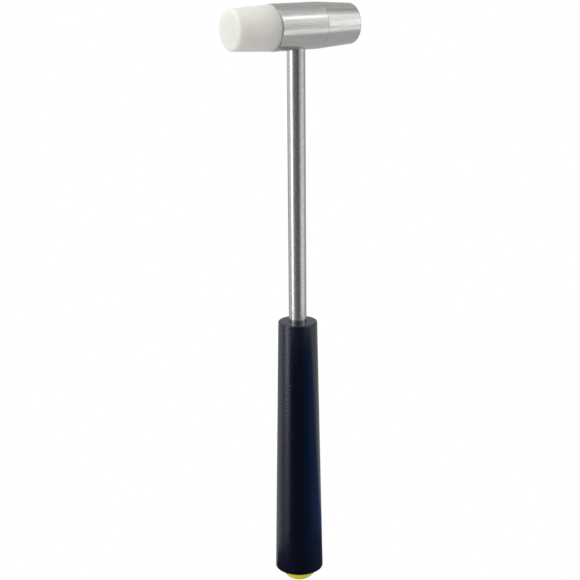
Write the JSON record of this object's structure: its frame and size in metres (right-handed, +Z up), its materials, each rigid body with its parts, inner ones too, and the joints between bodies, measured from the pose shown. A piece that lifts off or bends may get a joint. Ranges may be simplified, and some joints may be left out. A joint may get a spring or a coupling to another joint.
{
  "type": "craft hammer",
  "caption": "Light craft hammer: round steel head with a nylon face and a steel face that screw off, slim steel shaft, tapered soft grip over a hard plastic core with a domed butt.",
  "frame": {"origin": "on the shaft's axis at the middle of the grip sleeve's length, where a hand holds the hammer", "axes": "+Z up the shaft from the grip to the head; +X along the head's axis towards the steel face, so the nylon face points to -X; +Y across both"},
  "size_m": [0.0621, 0.0224, 0.2707],
  "materials": {
    "head_steel": "turned and polished",
    "shaft_steel": "bright polished",
    "stud_steel": "plain machined",
    "nylon": "satin, slightly translucent",
    "core_plastic": "glossy",
    "grip_rubber": "satin with a fine grain"
  },
  "bodies": {
    "handle": {"head_body": "head_steel", "shaft": "shaft_steel", "handle_core": "core_plastic", "grip_sleeve": "grip_rubber"},
    "nylon_stud": {"nylon_face_stud": "stud_steel"},
    "nylon_end": {"nylon_face": "nylon"},
    "steel_stud": {"steel_face_stud": "stud_steel"},
    "steel_end": {"steel_face": "head_steel"}
  },
  "joints": [
    {"name": "nylon_face_turn", "type": "hinge", "parent": "handle", "child": "nylon_stud", "pos_m": [-0.0129, 0, 0.1925], "axis": [-1, 0, 0], "range_deg": [0, 3240]},
    {"name": "nylon_face_travel", "type": "slide", "parent": "nylon_stud", "child": "nylon_end", "axis": [-1, 0, 0], "range_m": [0, 0.009]},
    {"name": "steel_face_turn", "type": "hinge", "parent": "handle", "child": "steel_stud", "pos_m": [0.0104, 0, 0.1925], "axis": [1, 0, 0], "range_deg": [0, 3240]},
    {"name": "steel_face_travel", "type": "slide", "parent": "steel_stud", "child": "steel_end", "axis": [1, 0, 0], "range_m": [0, 0.009]}
  ],
  "couplings": [
    {"joint": "nylon_face_travel", "follows": "nylon_face_turn", "m_per_rad": 0.00015915},
    {"joint": "steel_face_travel", "follows": "steel_face_turn", "m_per_rad": 0.00015915}
  ]
}
